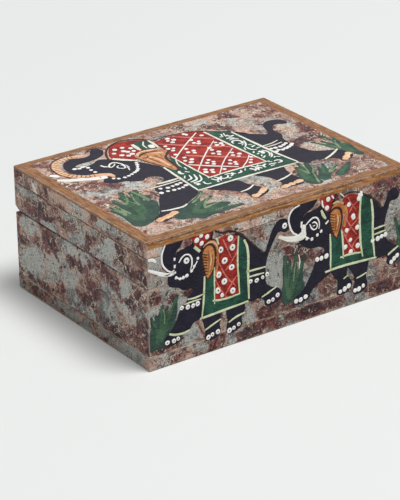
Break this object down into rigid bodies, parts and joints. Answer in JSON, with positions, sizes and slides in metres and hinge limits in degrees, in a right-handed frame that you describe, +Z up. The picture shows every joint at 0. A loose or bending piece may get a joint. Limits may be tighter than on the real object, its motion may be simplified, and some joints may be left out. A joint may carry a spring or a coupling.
{
  "type": "jewellery box",
  "caption": "Small hinged jewellery box of painted marble slabs with a velvet-lined tray and lid.",
  "frame": {"origin": "middle of the underside, on the surface the box stands on", "axes": "+X along the painted front to the right, +Y from the front to the hinged back, +Z up"},
  "size_m": [0.102, 0.078, 0.044],
  "materials": {
    "marble": "honed mottled grey and maroon marble with an ochre painted border, lightly waxed",
    "velvet": "short-pile dark red velvet",
    "card": "plain grey board",
    "brass": "stamped brass, slightly dulled"
  },
  "bodies": {
    "tray": {"base_slab": "marble", "floor_card": "card", "floor_pad": "velvet", "tray_hinge_nails": "brass", "tray_front_wall": "marble", "tray_back_wall": "marble", "tray_left_wall": "marble", "tray_right_wall": "marble", "tray_front_lining": "velvet", "tray_back_lining": "velvet", "tray_left_lining": "velvet", "tray_right_lining": "velvet", "left_hinge_tray_leaf": "brass", "right_hinge_tray_leaf": "brass", "left_hinge_pin": "brass", "right_hinge_pin": "brass"},
    "lid": {"lid_slab": "marble", "lid_card": "card", "lid_pad": "velvet", "lid_hinge_nails": "brass", "lid_front_rail": "marble", "lid_back_rail": "marble", "lid_left_rail": "marble", "lid_right_rail": "marble", "left_hinge_lid_leaf": "brass", "right_hinge_lid_leaf": "brass"}
  },
  "joints": [
    {"name": "lid_hinge", "type": "hinge", "parent": "tray", "child": "lid", "pos_m": [0, 0.0378, 0.0284], "axis": [-1, 0, 0], "range_deg": [0, 115]}
  ]
}
